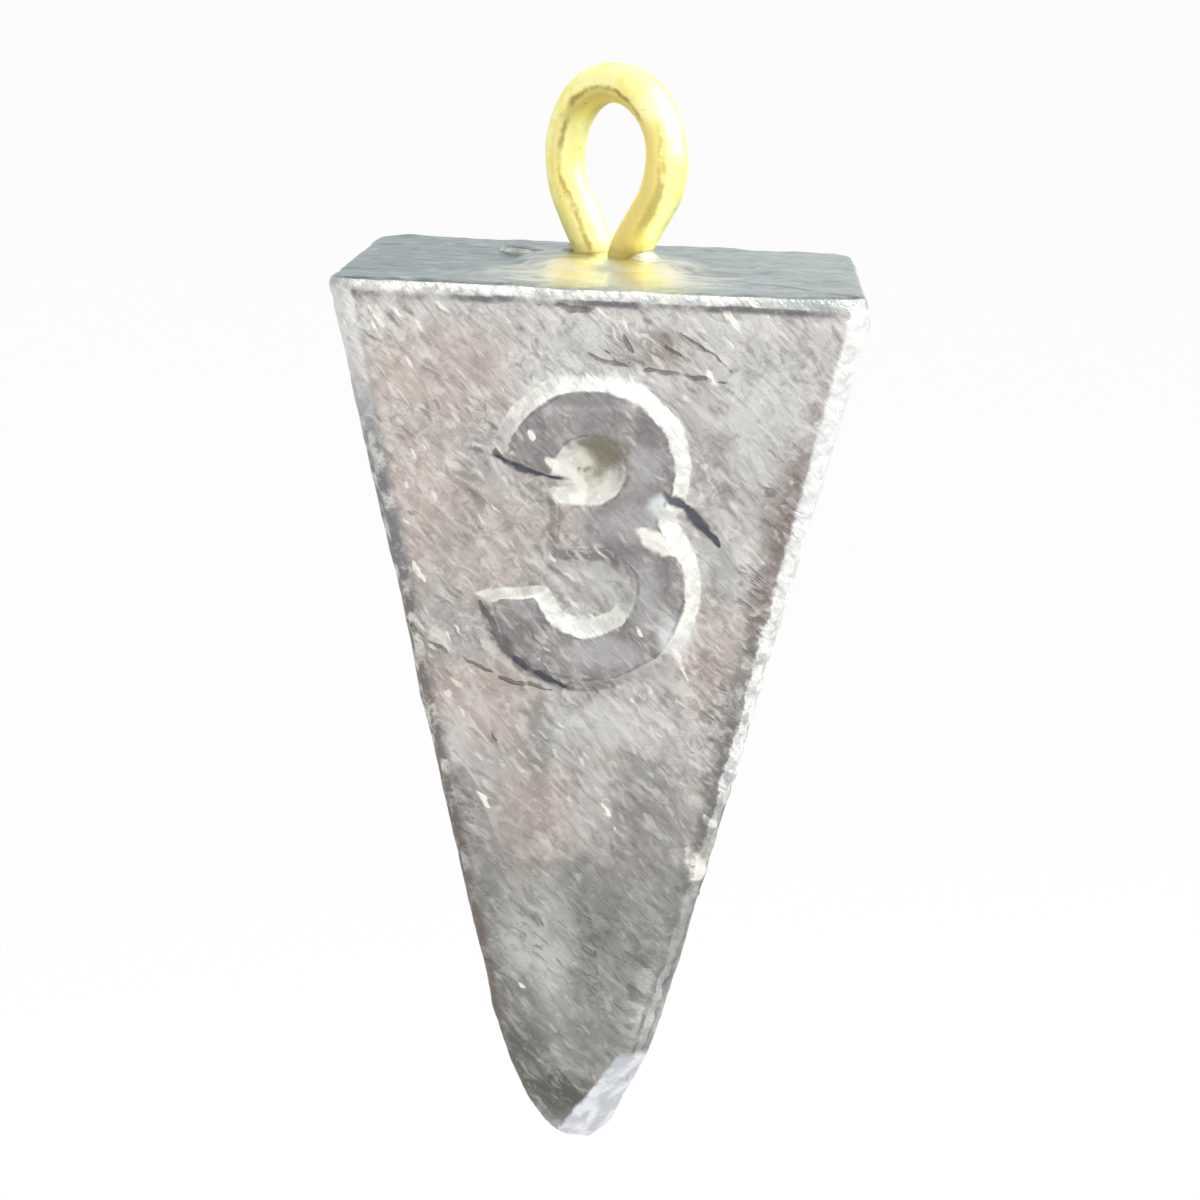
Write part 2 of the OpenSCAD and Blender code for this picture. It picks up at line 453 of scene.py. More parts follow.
def lead_casting():
    """The casting in one skin: body, fin, gate, lips and numeral, fused, nipped and dented."""
    whole = [pyramid(), parting_fin(), gate_stub()] + [lump(*form) for form in LUMPS] + numeral()
    casting = join("lead_casting", whole)
    modify(casting, 'REMESH', mode='VOXEL', voxel_size=GRAIN)
    modify(casting, 'SMOOTH', factor=0.5, iterations=2)

    # Broad dents of the mould, the fine flow of the metal, and ragged flash
    dent(casting, "broad_dents", 5 * MM, 1, 0.22 * MM)
    dent(casting, "flow", 1.1 * MM, 2, 0.1 * MM)
    group_verts(casting, "flash", flash_share)
    dent(casting, "ragged_flash", 0.7 * MM, 2, 0.5 * MM, mid_level=0.45, vertex_group="flash")

    # The cutters that nipped the nose pushed its tip over
    group_verts(casting, "tip", tip_share)
    modify(casting, 'DISPLACE', direction='X', strength=TIP_LEAN, mid_level=0, vertex_group="tip")
    pick(casting)
    bpy.ops.object.shade_smooth()
    return casting


# The wire

def brass_eye():
    """The wire, drawn along its whole length from one tail to the other."""
    bend_out = LEG_X + BEND_R * (1 - cos(LEG_SLANT))
    loop_end = Vector((LOOP_R * cos(LEG_SLANT), LOOP_H - LOOP_R * sin(LEG_SLANT)))
    slant_l = (loop_end.x - bend_out) / sin(LEG_SLANT)
    slant_end_z = loop_end.y - slant_l * cos(LEG_SLANT)
    leg_top = slant_end_z - BEND_R * sin(LEG_SLANT)
    tail_z = BEND_R - TAIL_DEPTH
    bend_x = LEG_X + BEND_R

    bpy.ops.mesh.primitive_circle_add(
        vertices=32, radius=WIRE_R, fill_type='NGON',
        location=(bend_x + TAIL_L, 0, -TAIL_DEPTH), rotation=(0, radians(90), 0))
    wire = new_piece("brass_eye")
    edit_all()

    def run(x, z, cuts):
        for _ in range(cuts):
            bpy.ops.mesh.extrude_region_move(TRANSFORM_OT_translate={"value": (x / cuts, 0, z / cuts)})

    def bend(x, z, angle, steps):
        bpy.ops.mesh.spin(steps=steps, angle=-angle, center=(x, 0, z), axis=(0, 1, 0))

    slant_x = loop_end.x - bend_out
    slant_z = loop_end.y - slant_end_z
    run(-TAIL_L, 0, 6)
    bend(bend_x, tail_z, radians(90), 12)
    run(0, leg_top - tail_z, 20)
    bend(bend_x, leg_top, LEG_SLANT, 8)
    run(slant_x, slant_z, 10)
    bend(0, LOOP_H, -(pi + 2 * LEG_SLANT), 72)
    run(slant_x, -slant_z, 10)
    bend(-bend_x, leg_top, LEG_SLANT, 8)
    run(0, tail_z - leg_top, 20)
    bend(-bend_x, tail_z, radians(90), 12)
    run(-TAIL_L, 0, 6)
    close_skin()
    put_at(wire, EYE_PLACE)
    modify(wire, 'SUBSURF', levels=1, render_levels=1)
    dent(wire, "hand_bent", 2.2 * MM, 0, 0.1 * MM)
    bpy.ops.object.shade_smooth()
    return wire


lead = lead_casting()
wire = brass_eye()


# Finishes

def srgb(r, g, b):
    """A screen colour, from 0 to 255, as the linear colour that a shader takes."""
    def linear(c):
        c /= 255
        return c / 12.92 if c <= 0.04045 else ((c + 0.055) / 1.055) ** 2.4
    return (linear(r), linear(g), linear(b), 1)


class Nodes:
    """Adds nodes to one node tree. An input is a value or another node's output."""

    def __init__(self, tree):
        self.tree = tree

    def add(self, kind, inputs=(), **settings):
        node = self.tree.nodes.new(kind)
        for name, value in settings.items():
            setattr(node, name, value)
        for name, value in dict(inputs).items():
            self.feed(node.inputs[name], value)
        return node

    def feed(self, socket, value):
        if isinstance(value, bpy.types.NodeSocket):
            self.tree.links.new(value, socket)
        else:
            socket.default_value = value

    def use(self, group, inputs):
        """The one output of a node group."""
        return self.add('ShaderNodeGroup', inputs, node_tree=group).outputs[0]

    def math(self, operation, a, b=0.0):
        return self.add('ShaderNodeMath', {0: a, 1: b}, operation=operation).outputs[0]

    def plus(self, a, b):
        return self.math('ADD', a, b)

    def minus(self, a, b):
        return self.math('SUBTRACT', a, b)

    def rest(self, share):
        """What a share leaves of the whole."""
        return self.math('SUBTRACT', 1.0, share)

    def times(self, first, *others):
        for other in others:
            first = self.math('MULTIPLY', first, other)
        return first

    def most(self, first, *others):
        for other in others:
            first = self.math('MAXIMUM', first, other)
        return first

    def step(self, value, low, high):
        """Rises smoothly from 0 at low to 1 at high."""
        return self.add('ShaderNodeMapRange', {0: value, 1: low, 2: high, 3: 0.0, 4: 1.0},
                        interpolation_type='SMOOTHSTEP').outputs[0]

    def vector(self, operation, a, b):
        return self.add('ShaderNodeVectorMath', {0: a, 1: b}, operation=operation).outputs[0]

    def measure(self, operation, a, b=(0, 0, 0)):
        """A number from one vector or two, such as their dot product."""
        return self.add('ShaderNodeVectorMath', {0: a, 1: b}, operation=operation).outputs["Value"]

    def dot(self, a, b):
        return self.measure('DOT_PRODUCT', a, b)

    def scaled(self, vector, factor):
        return self.add('ShaderNodeVectorMath', {0: vector, 'Scale': factor}, operation='SCALE').outputs[0]

    def turned(self, vector, angle):
        return self.add('ShaderNodeVectorRotate', {'Vector': vector, 'Angle': angle},
                        rotation_type='Z_AXIS').outputs[0]

    def parts(self, vector):
        return self.add('ShaderNodeSeparateXYZ', {0: vector}).outputs

    def from_parts(self, x, y, z=0.0):
        return self.add('ShaderNodeCombineXYZ', {0: x, 1: y, 2: z}).outputs[0]

    def noise(self, place, scale, detail=3.0, rough=0.5, distortion=0.0, output='Fac'):
        return self.add('ShaderNodeTexNoise', {
            'Vector': place, 'Scale': scale, 'Detail': detail,
            'Roughness': rough, 'Distortion': distortion}).outputs[output]

    def sway(self, place, scale, detail, rough, width):
        """Noise that runs as far below 0 as above it."""
        return self.times(self.minus(self.noise(place, scale, detail, rough), 0.5), width)

    def mix(self, factor, a, b):
        """Mixes two colours. One of three numbers is a screen colour."""
        a, b = (srgb(*colour) if isinstance(colour, tuple) else colour for colour in (a, b))
        return self.add('ShaderNodeMix', {0: factor, 6: a, 7: b}, data_type='RGBA').outputs[2]

    def coats(self, colour, *coats):
        """Lays tones over a colour, each as (mask, tone) or (mask, tone, strength)."""
        for mask, tone, *strength in coats:
            colour = self.mix(self.times(mask, *strength), colour, tone)
        return colour


def new_group(name, inputs, output):
    """A shader node group with named inputs and one output. Returns its tree and Nodes, what it is
    given, and the socket to fill."""
    tree = bpy.data.node_groups.new(name, 'ShaderNodeTree')
    for label, value in inputs.items():
        kind = 'NodeSocketVector' if isinstance(value, tuple) else 'NodeSocketFloat'
        tree.interface.new_socket(label, in_out='INPUT', socket_type=kind).default_value = value
    tree.interface.new_socket(output, in_out='OUTPUT', socket_type='NodeSocketFloat')
    given = tree.nodes.new('NodeGroupInput').outputs
    return tree, Nodes(tree), given, tree.nodes.new('NodeGroupOutput').inputs[output]


def patch_group():
    """A soft round patch at a place, with a frayed edge."""
    tree, n, given, mask = new_group("patch", {
        "Place": (0, 0, 0), "Middle": (0, 0, 0), "Reach": (1, 1, 1), "Fray": 0.9}, "Mask")
    offset = n.vector('SUBTRACT', given["Place"], given["Middle"])
    distance = n.measure('LENGTH', n.vector('DIVIDE', offset, given["Reach"]))
    fray = n.sway(given["Place"], 0.8, 5, 0.65, given["Fray"])
    n.feed(mask, n.step(n.plus(distance, fray), 1.2, 0.5))
    return tree


def scratch_group():
    """A straight mark from one place to another, wobbling a little and fading at its sides."""
    tree, n, given, mask = new_group("scratch", {
        "Place": (0, 0, 0), "From": (0, 0, 0), "To": (1, 0, 0), "Width": 0.2, "Wobble": 0.5}, "Mask")
    shake = n.noise(given["Place"], 0.9, 2.5, output='Color')
    shake = n.scaled(n.vector('SUBTRACT', shake, (0.5, 0.5, 0.5)), given["Wobble"])
    run = n.vector('SUBTRACT', given["To"], given["From"])
    off = n.vector('SUBTRACT', n.vector('ADD', given["Place"], shake), given["From"])
    along = n.math('DIVIDE', n.dot(off, run), n.dot(run, run))
    along = n.add('ShaderNodeClamp', {0: along}).outputs[0]
    distance = n.measure('DISTANCE', off, n.scaled(run, along))
    # The mark is widest in its middle
    taper = n.plus(n.times(along, n.rest(along), 4.0, 0.65), 0.35)
    fray = n.plus(0.45, n.noise(given["Place"], 3.2, 4, 0.7))
    share = n.math('DIVIDE', n.times(distance, fray), n.times(given["Width"], taper))
    n.feed(mask, n.step(share, 0.75, 0.3))
    return tree


def dashes_group():
    """Short strokes scattered over a surface, all at about one slant."""
    tree, n, given, mask = new_group("dashes", {
        "Place": (0, 0, 0), "Slant": 0.9, "Length": 1.0, "Width": 0.2, "Share": 0.5}, "Mask")
    shake = n.scaled(n.noise(given["Place"], 0.6, 4.0, output='Color'), 1.1)
    turned = n.turned(n.vector('ADD', given["Place"], shake), given["Slant"])
    size = n.from_parts(given["Length"], given["Width"], 1.0)
    cells = n.add('ShaderNodeTexVoronoi', {'Vector': n.vector('DIVIDE', turned, size), 'Scale': 1.0},
                  voronoi_dimensions='2D').outputs
    chosen = n.add('ShaderNodeSeparateColor', {0: cells["Color"]}).outputs
    present = n.math('LESS_THAN', chosen[0], given["Share"])
    reach = n.plus(0.18, n.times(chosen[1], 0.22))
    n.feed(mask, n.times(present, n.step(n.math('DIVIDE', cells["Distance"], reach), 1.25, 0.45)))
    return tree


def wrinkles_group():
    """Height of the fine wrinkles that the flow of the metal leaves, at one slant."""
    tree, n, given, height = new_group("wrinkles", {
        "Place": (0, 0, 0), "Slant": 0.9, "Length": 1.0, "Width": 0.3}, "Height")
    size = n.from_parts(given["Length"], given["Width"], 1.0)
    drawn_out = n.vector('DIVIDE', n.turned(given["Place"], given["Slant"]), size)
    n.feed(height, n.noise(drawn_out, 1.0, 2.5, 0.5, 1.2))
    return tree


# The two sides and the two ends bear these numbers, the left and the front ones below 0
SIDE_NUMBER = 31.0
END_NUMBER = 17.0
# The numeral's walls that face this way, from the right towards the top, are painted bright: a painted
# highlight where the light falls
LIT_WAY = radians(62)

# Marks on the front face, in millimetres from the middle of its top edge.
# Patches are (right, up, reach right, reach up, strength).
PINKISH = [
    (-6.4, -3.8, 3.4, 2.6, 0.7), (-7.6, -9.5, 2.6, 4.6, 0.7), (-4.6, -11.5, 2.2, 3.6, 0.45),
    (-4.4, -18.4, 2.6, 2.6, 0.8), (-2.2, -23.6, 2.0, 3.2, 0.6), (5.2, -15.4, 1.6, 2.6, 0.5),
]
BROWN = [
    (1.9, -2.4, 2.4, 1.0, 0.55), (7.7, -9.8, 1.1, 2.6, 0.4), (4.9, -16.6, 0.8, 2.4, 0.4),
    (-6.6, -17.6, 0.9, 2.4, 0.5), (-1.7, -23.2, 1.0, 1.7, 0.4), (7.0, -13.6, 0.7, 1.6, 0.5),
]
DARK_GREY = [
    (0.3, -28.2, 2.4, 2.6, 0.75), (-6.0, -23.4, 1.4, 2.4, 0.45), (1.0, -31.6, 1.6, 1.8, 0.4),
    (5.4, -12.4, 0.6, 1.8, 0.4), (-2.4, -34.2, 1.6, 2.6, 0.4), (3.4, -31.0, 0.8, 2.6, 0.4),
    (5.6, -23.4, 0.7, 2.0, 0.5), (2.6, -23.6, 1.7, 3.8, 0.45), (1.8, -29.2, 1.6, 2.6, 0.5),
    (-3.6, -24.8, 1.5, 2.4, 0.4), (4.2, -27.4, 1.5, 2.2, 0.4), (-2.0, -20.4, 0.6, 2.4, 0.5),
    (0.6, -34.6, 1.8, 1.6, 0.45), (6.4, -20.6, 0.8, 2.6, 0.5),
]
# Dark olive patches on the left of the nose and just above it, where the light does not reach: painted
# shade
NOSE_SHADE = [
    (-2.9, -36.2, 1.9, 3.0, 0.95), (-0.6, -37.6, 1.8, 1.6, 0.95), (-4.2, -29.6, 1.2, 3.4, 0.55),
    (-3.2, -33.4, 0.8, 2.0, 0.5),
]
PALE = [
    (-0.8, -4.0, 3.2, 1.3, 0.7), (7.0, -5.6, 2.0, 3.0, 0.6), (1.4, -19.2, 3.4, 1.3, 0.5),
    (6.0, -11.6, 1.5, 2.6, 0.4), (-1.2, -29.4, 1.2, 3.0, 0.45), (3.2, -32.6, 0.8, 2.2, 0.5),
    (0.3, -22.6, 0.8, 2.6, 0.15), (-6.0, -20.4, 1.2, 1.6, 0.4), (-2.8, -29.8, 1.4, 1.8, 0.3),
    (-0.4, -13.2, 1.6, 1.5, 0.45), (-0.3, -2.6, 2.2, 1.2, 0.8),
]
PITTED = [
    (7.7, -8.8, 1.0, 3.6, 1.0), (6.7, -13.6, 0.9, 2.8, 1.0), (5.6, -19.6, 0.9, 3.6, 1.0),
    (1.8, -2.6, 2.8, 1.1, 0.5), (-0.4, -29.4, 2.8, 2.0, 1.0), (1.8, -31.4, 1.8, 2.2, 1.0),
    (-5.6, -24.8, 1.4, 3.6, 0.9), (-4.0, -31.4, 1.2, 3.0, 0.7),
]
# Dark olive on the inner wall of the upper counter that faces away from the light: painted shade
COUNTER_SHADE = [(0.35, -6.9, 1.1, 0.9, 0.9)]
COUNTER_CREAM = [(-0.75, -7.6, 0.8, 0.9, 0.9), (0.3, -8.3, 0.8, 0.6, 0.8)]
COUNTER_SPECKS = [(-0.2, -7.75, 0.9, 0.8, 1.0)]
NOTCH_PALE = [(2.95, -9.1, 0.8, 0.6, 0.8), (3.6, -14.9, 0.9, 1.0, 0.6)]
NUMERAL_DARK = [
    (1.7, -14.8, 0.6, 1.0, 0.45), (0.9, -11.2, 0.6, 1.0, 0.45), (-0.6, -4.5, 2.0, 0.5, 0.55),
    (2.4, -5.6, 0.9, 1.2, 0.5), (-2.8, -14.6, 1.1, 1.1, 0.3), (2.9, -12.2, 0.5, 1.6, 0.4),
]
NUMERAL_PALE = [
    (2.05, -7.3, 0.8, 0.9, 0.5), (2.2, -13.0, 0.9, 1.7, 0.5), (0.8, -15.7, 1.9, 0.8, 0.6),
    (2.5, -16.8, 1.5, 1.0, 0.5), (1.6, -9.9, 1.4, 1.0, 0.45),
]
# Lines are ((right, up), (right, up), width)
CRACKS = [
    ((-0.5, -2.8), (1.7, -3.5), 0.17), ((1.6, -3.4), (5.1, -3.7), 0.2), ((0.9, -1.9), (1.7, -3.2), 0.22),
    ((2.5, -2.1), (3.4, -2.8), 0.16), ((-2.8, -0.75), (0.4, -0.95), 0.2),
    ((-5.4, -16.6), (-3.9, -17.2), 0.14), ((-3.9, -17.2), (-1.6, -17.8), 0.17),
    ((3.3, -1.6), (5.4, -3.3), 0.13), ((-7.6, -15.2), (-5.4, -16.6), 0.13),
    ((0.2, -2.5), (0.9, -3.3), 0.14), ((-4.6, -19.2), (-3.8, -20.2), 0.12),
]
# Gouge marks at the numeral's right waist: sunk in the relief, with a dark navy tone that is painted shade
SHADED_GOUGES = [
    ((2.7, -8.35), (3.9, -9.4), 0.34), ((3.75, -9.2), (4.75, -10.4), 0.46),
    ((4.5, -10.1), (5.2, -10.9), 0.26),
]
# Deep shade under the numeral's lower left edges, and the dimmer shade that leads to it
SHADE = [
    ((-3.95, -7.4), (-2.3, -8.1), 0.5), ((-2.6, -7.95), (-1.0, -8.35), 0.26),
    ((-3.1, -16.0), (-2.3, -16.9), 0.46), ((-2.5, -16.7), (-1.2, -17.3), 0.5),
    ((-1.6, -17.2), (-0.5, -17.65), 0.2),
]
DIM_SHADE = [
    ((-4.5, -13.9), (-3.8, -15.2), 0.46), ((-4.0, -15.0), (-3.0, -16.3), 0.56),
    ((-1.6, -17.1), (-0.1, -17.65), 0.36), ((-4.0, -7.1), (-3.8, -7.6), 0.4),
]
# Pale lines: bright cuts in the metal, and painted highlights, such as the thin line above the deep shade
GASHES_AND_HIGHLIGHTS = [
    ((5.0, -0.8), (5.7, -1.7), 0.3), ((6.15, -0.25), (6.85, -0.95), 0.34),
    ((-4.5, -22.6), (-4.0, -23.4), 0.22), ((4.6, -25.0), (5.1, -26.5), 0.75),
    ((5.2, -23.3), (5.7, -24.0), 0.3), ((0.8, -23.0), (1.4, -24.2), 0.16),
    ((-2.7, -31.6), (-2.2, -32.1), 0.2), ((-9.3, -1.2), (-8.6, -2.2), 0.2),
    ((4.4, -3.3), (4.9, -3.9), 0.26), ((1.85, -7.65), (2.35, -8.3), 0.26),
    ((3.5, -15.5), (4.15, -17.0), 0.24), ((-7.4, -12.2), (-6.9, -13.1), 0.24),
    ((-3.65, -6.6), (-3.2, -7.5), 0.26), ((-1.95, -7.1), (-0.35, -8.75), 0.62),
    ((-2.4, -15.95), (-1.25, -16.8), 0.16), ((1.9, -10.25), (3.4, -11.1), 0.75),
    ((1.85, -14.25), (2.2, -14.9), 0.2), ((2.35, -14.1), (2.75, -14.75), 0.2),
    ((-2.75, -6.0), (-2.5, -6.4), 0.3),
]
# Patches of the top face painted bright and yellowish before the wire's legs: a painted reflection of the
# brass. As (right, back, reach right, reach back, tone, strength)
BRASS_REFLECTIONS = [
    (0.2, -5.6, 4.8, 7.6, (226, 226, 206), 0.75), (-1.5, -4.8, 1.3, 4.6, (252, 245, 208), 0.7),
    (2.0, -4.8, 1.5, 4.6, (252, 244, 210), 0.7), (0.35, -6.8, 0.9, 4.6, (206, 208, 200), 0.5),
]
# Strokes are (slant, length, width, share of places that have one, strength, tone)
STROKES = [
    (50, 2.2, 0.52, 0.24, 0.4, (146, 136, 130)), (42, 1.2, 0.34, 0.24, 0.6, (106, 95, 91)),
    (54, 2.0, 0.5, 0.24, 0.5, (218, 213, 207)), (44, 1.3, 0.38, 0.2, 0.6, (228, 224, 218)),
    (50, 1.0, 0.26, 0.06, 0.8, (244, 241, 235)),
]


class Finish:
    """One material, built up coat by coat. Its places are in millimetres."""

    def __init__(self, name):
        self.material = bpy.data.materials.new(name)
        self.material.use_nodes = True
        self.n = Nodes(self.material.node_tree)
        coords = self.n.add('ShaderNodeTexCoord').outputs
        self.place = self.n.scaled(coords["Object"], 1 / MM)
        self.normal = coords["Normal"]

    def lay(self, *coats):
        """Lays more coats over the colour."""
        self.colour = self.n.coats(self.colour, *coats)

    def feed_shader(self, metallic, roughness, height, depth):
        """Feeds the shader with the colour and the rest. Where the height is 1, the bump is as high
        as the depth."""
        bump = self.n.add('ShaderNodeBump', {'Strength': 1.0, 'Distance': depth, 'Height': height})
        inputs = self.material.node_tree.nodes["Principled BSDF"].inputs
        self.n.feed(inputs["Base Color"], self.colour)
        self.n.feed(inputs["Metallic"], metallic)
        self.n.feed(inputs["Roughness"], roughness)
        self.n.feed(inputs["Normal"], bump.outputs[0])


class CastLead(Finish):
    """Dull oxide on the sides, bright metal on the top, the edges and the nipped flat, with painted
    highlights and painted shade on the numeral, the rim, the corners and the nose, painted shade round the
    wire's feet, and a painted reflection of the brass on the top.
    """

    def __init__(self):
        super().__init__("cast_lead")
        self.patch = patch_group()
        self.scratch = scratch_group()
        self.dashes = dashes_group()
        self.wrinkles = wrinkles_group()
        self.measures()
        self.oxide()
        self.numeral()
        self.flow()
        self.marks()
        self.corners()
        self.rolled_rim()
        self.top()
        self.nip()
        self.relief()

    def measures(self):
        """Where a point lies, and the patterns that several coats share."""
        n = self.n
        self.x, self.y, z = n.parts(self.place)
        self.nz = n.parts(self.normal)[2]
        self.drop = n.minus(TOP_Z / MM, z)

        # The front face's own measures
        self.front = n.add('ShaderNodeMapping', {
            'Vector': self.place, 'Location': (0, -TOP_W / 2 / MM, TOP_Z / MM),
            'Rotation': (radians(90) + SLOPE, 0, 0)}, vector_type='TEXTURE').outputs[0]
        self.fx, self.fy, self.fz = n.parts(self.front)
        self.flat_front = n.from_parts(self.fx, self.fy, n.times(self.fz, 0.2))

        # One sheet of pattern for each of the four sides, told apart by a number
        self.wide = n.math('ABSOLUTE', self.x)
        self.deep = n.math('ABSOLUTE', self.y)
        on_side = n.math('GREATER_THAN', self.wide, self.deep)
        on_end = n.rest(on_side)
        self.across = n.plus(n.times(on_side, self.y), n.times(on_end, self.x))
        number = n.plus(n.times(on_side, n.math('SIGN', self.x), SIDE_NUMBER),
                        n.times(on_end, n.math('SIGN', self.y), END_NUMBER))
        self.sheet = n.from_parts(n.plus(self.across, number), z, number)
        not_front = n.math('GREATER_THAN', n.math('ABSOLUTE', n.plus(number, END_NUMBER)), 0.5)

        self.broad = n.noise(self.sheet, 0.2, 4, 0.6)
        self.mottle = n.noise(self.sheet, 0.7, 5, 0.65)
        self.speck = n.noise(self.sheet, 2.6, 4, 0.65)
        self.ragged_drop = n.plus(self.drop, n.times(self.mottle, 6.0))
        # Darker towards the bottom
        self.darker_low = n.times(n.step(n.plus(self.drop, n.times(self.broad, 6.0)), 17.0, 36.0), 0.85)
        self.low = n.step(self.darker_low, 0.2, 0.7)
        # The other three sides carry no placed patches, so broad blotches stand for them
        blotches = n.noise(self.sheet, 0.24, 5, 0.62, 0.4)
        self.dark_blotches = n.times(n.step(blotches, 0.5, 0.62), not_front)
        self.pink_blotches = n.times(n.step(blotches, 0.47, 0.36), not_front)

    def patches(self, places):
        """Mask of soft patches on the front face."""
        n = self.n
        mask = 0.0
        for right, up, reach_right, reach_up, strength in places:
            one = n.use(self.patch, {
                'Place': self.front, 'Middle': (right, up, 0), 'Reach': (reach_right, reach_up, 4)})
            mask = n.most(mask, n.times(one, strength))
        return mask

    def scratches(self, lines, wobble):
        """Mask of straight marks on the front face."""
        n = self.n
        mask = 0.0
        for start, end, width in lines:
            mask = n.most(mask, n.use(self.scratch, {
                'Place': self.flat_front, 'From': (*start, 0), 'To': (*end, 0), 'Width': width,
                'Wobble': wobble}))
        return mask

    def wrinkle(self, slant, length, width):
        return self.n.use(self.wrinkles, {
            'Place': self.sheet, 'Slant': radians(slant), 'Length': length, 'Width': width})

    def oxide(self):
        """The tones of the sides, from broad ones to finer ones."""
        n = self.n
        self.pinkish = self.patches(PINKISH)
        self.pale = self.patches(PALE)
        self.dark_grey = self.patches(DARK_GREY)
        self.colour = n.mix(n.step(self.broad, 0.4, 0.62), (178, 178, 175), (186, 178, 172))
        self.lay(
            (n.step(self.ragged_drop, 10.0, 2.0), (208, 207, 203), 0.7),
            (self.darker_low, (146, 145, 140)),
            (self.pinkish, (186, 170, 161)),
            (self.pale, (200, 201, 199)),
            (self.dark_blotches, (138, 135, 131), 0.7),
            (self.pink_blotches, (190, 174, 165), 0.6),
            (n.step(self.mottle, 0.5, 0.72), (150, 148, 145), 0.55),
            (self.dark_grey, (124, 124, 120)),
            (self.patches(BROWN), (136, 120, 112)),
            # Painted shade on the left of the nose
            (self.patches(NOSE_SHADE), (82, 82, 75)))

    def numeral(self):
        """The numeral: its face is dull, and the walls towards the lower left, away from the light, are
        painted dark: a painted shade.
        """
        n = self.n
        self.facing = n.dot(self.normal, (0, -cos(SLOPE), -sin(SLOPE)))
        lit_side = n.dot(self.normal, (cos(LIT_WAY), -sin(LIT_WAY) * sin(SLOPE), sin(LIT_WAY) * cos(SLOPE)))
        off_middle = n.math('ABSOLUTE', n.plus(self.fx, NUMERAL_SHIFT / MM))
        off_centre = n.math('ABSOLUTE', n.plus(self.fy, NUMERAL_DROP / MM))
        self.near = n.times(
            n.step(off_middle, 5.6, 5.2), n.step(off_centre, 7.6, 7.2), n.step(self.facing, 0.1, 0.3))
        frayed = n.plus(self.facing, n.sway(self.flat_front, 1.8, 5, 0.7, 0.22))
        wall = n.times(self.near, n.step(frayed, 0.96, 0.88))
        rough_side = n.plus(lit_side, n.times(n.minus(self.speck, 0.5), 0.4))
        # Walls that face the light are painted bright: a painted highlight
        self.lit_wall_highlight = n.times(wall, n.step(rough_side, -0.18, 0.05))
        off_arm = n.math('ABSOLUTE', n.plus(self.fy, ARM_DROP / MM))
        arm_end = n.times(n.step(n.plus(self.fx, self.mottle), 0.9, -0.3), n.step(off_arm, 1.9, 1.3))
        self.numeral_face = n.times(
            self.near, n.step(self.fz, 0.22, 0.36), n.rest(wall), n.rest(n.times(arm_end, 0.8)))
        face_tone = n.mix(n.step(self.mottle, 0.35, 0.65), (112, 108, 107), (152, 150, 149))
        self.lay(
            (self.numeral_face, face_tone, 0.9),
            # Walls that face away from the light are painted dark: a painted shade
            (n.times(wall, n.step(lit_side, -0.2, -0.45)), (96, 92, 92), 0.6))

    def flow(self):
        """Marks of the flow: wrinkles, grain, then strokes, which are fewer on the right."""
        n = self.n
        calm = n.times(n.rest(n.times(self.numeral_face, n.step(self.fy, -14.0, -6.0), 0.4)),
                       n.rest(n.times(self.numeral_face, 0.4)))
        lively = n.times(n.step(n.noise(self.sheet, 0.35, 3, 0.6), 0.3, 0.55), calm,
                         n.rest(n.times(n.step(self.across, 1.5, 6.0), 0.5)),
                         n.rest(n.times(n.step(self.drop, 17.0, 25.0), 0.65)))
        upper = n.times(n.rest(n.times(self.low, 0.35)), calm)
        self.brushed = self.wrinkle(50, 2.4, 0.8)
        self.finer = self.wrinkle(44, 1.1, 0.36)
        self.grain = n.noise(self.sheet, 1.9, 5, 0.75, 0.6)
        grainy = n.times(n.step(n.noise(self.sheet, 0.45, 4, 0.6), 0.36, 0.56),
                         n.rest(n.times(n.step(self.drop, 16.0, 23.0), 0.35)))
        # Each has one tone high on the casting and another one low on it
        for mask, tone, low_tone, strength in (
                (n.step(self.brushed, 0.48, 0.3), (140, 131, 126), (112, 111, 106), 0.5),
                (n.step(self.finer, 0.46, 0.3), (126, 118, 114), (96, 95, 91), 0.5),
                (n.times(n.step(self.brushed, 0.53, 0.7), upper), (214, 210, 205), (186, 186, 181), 0.6),
                (n.times(n.step(self.finer, 0.55, 0.7), upper), (224, 220, 214), (198, 198, 192), 0.6),
                (n.times(n.step(self.grain, 0.5, 0.62), grainy), (138, 129, 124), (96, 95, 90), 0.5),
                (n.times(n.step(self.grain, 0.5, 0.38), grainy, upper),
                 (222, 218, 213), (180, 180, 175), 0.45)):
            self.lay((mask, n.mix(self.low, tone, low_tone), strength))
        for slant, length, width, share, strength, tone in STROKES:
            strokes = n.use(self.dashes, {
                'Place': self.sheet, 'Slant': radians(slant), 'Length': length, 'Width': width,
                'Share': share})
            self.lay((n.times(strokes, lively), tone, strength))
        self.lay(
            (self.dark_grey, (120, 120, 116), 0.45),
            (self.pinkish, (192, 176, 168), 0.3),
            (self.dark_blotches, (136, 133, 129), 0.35),
            (self.pale, (208, 209, 207), 0.5))

